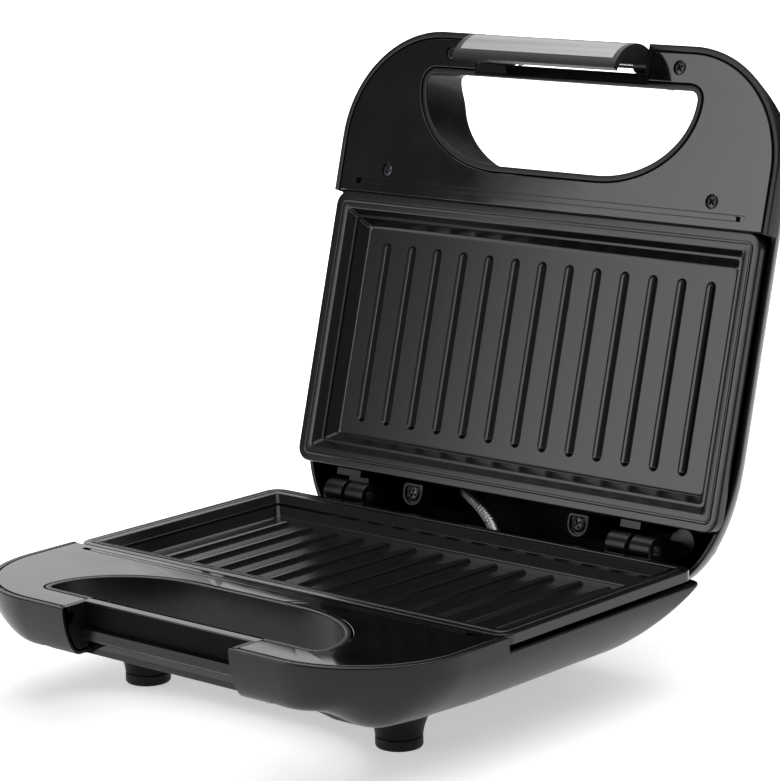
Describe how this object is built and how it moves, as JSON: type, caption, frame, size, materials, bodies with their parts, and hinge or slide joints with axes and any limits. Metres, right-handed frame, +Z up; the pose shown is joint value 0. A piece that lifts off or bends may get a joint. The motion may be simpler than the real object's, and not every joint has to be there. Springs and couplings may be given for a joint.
{
  "type": "sandwich toaster",
  "caption": "Sandwich toaster with ribbed grill plates in hinged dark plastic halves, D-shaped hand-holes and a silver spring latch.",
  "frame": {"origin": "on the table, under the middle of the bounding box of the toaster with its lid open on the stop", "axes": "+Z up; +Y from the handles to the hinge; +X to the right as seen from the handles"},
  "size_m": [0.2186, 0.265, 0.2358],
  "materials": {
    "casing": "satin moulded charcoal plastic with a fine grain",
    "cover": "polished black plastic",
    "nonstick": "cast plate under a dark satin non-stick coating",
    "clip": "silver-painted plastic, satin",
    "hook": "plain black plastic",
    "steel": "zinc-plated steel",
    "element": "dull heater sheath",
    "reflector": "bright rolled sheet",
    "rubber": "matt black rubber",
    "sleeve": "silver-grey glass-fibre sleeve",
    "ceramic": "ivory moulded block",
    "red_lens": "clear red lens",
    "green_lens": "clear green lens",
    "board": "lacquered circuit board"
  },
  "bodies": {
    "base": {"lower_housing": "casing", "lower_handle_cover": "cover", "lower_cover_screws": "steel", "lower_plate": "nonstick", "lower_plate_screws": "steel", "lower_heating_element": "element", "lower_heat_reflector": "reflector", "thermostat": "steel", "thermal_fuse": "steel", "terminal_block": "ceramic", "cord_inlet_bushing": "rubber", "hinge_pins": "steel", "front_left_foot": "rubber", "front_right_foot": "rubber", "rear_left_foot": "rubber", "rear_right_foot": "rubber", "lead_sleeve": "sleeve"},
    "lid": {"upper_housing": "casing", "upper_handle_cover": "cover", "upper_cover_screws": "steel", "upper_plate": "nonstick", "upper_plate_screws": "steel", "upper_heating_element": "element", "upper_heat_reflector": "reflector", "hinge_boss_screws": "steel", "power_lamp": "red_lens", "ready_lamp": "green_lens", "lamp_board": "board", "latch_pin": "steel", "latch_spring": "steel"},
    "latch": {"latch_clip_cover": "clip", "latch_hook": "hook"}
  },
  "joints": [
    {"name": "lid_hinge", "type": "hinge", "parent": "base", "child": "lid", "pos_m": [0, 0.06195, 0.0473], "axis": [1, 0, 0], "range_deg": [0, 105], "deforming": ["lead_sleeve"]},
    {"name": "latch_pivot", "type": "hinge", "parent": "lid", "child": "latch", "pos_m": [0, 0.11897, 0.22552], "axis": [-1, 0, 0], "range_deg": [0, 25], "stiffness_Nm_per_rad": 0.08, "springref_deg": -20.05, "deforming": ["latch_spring"]}
  ]
}
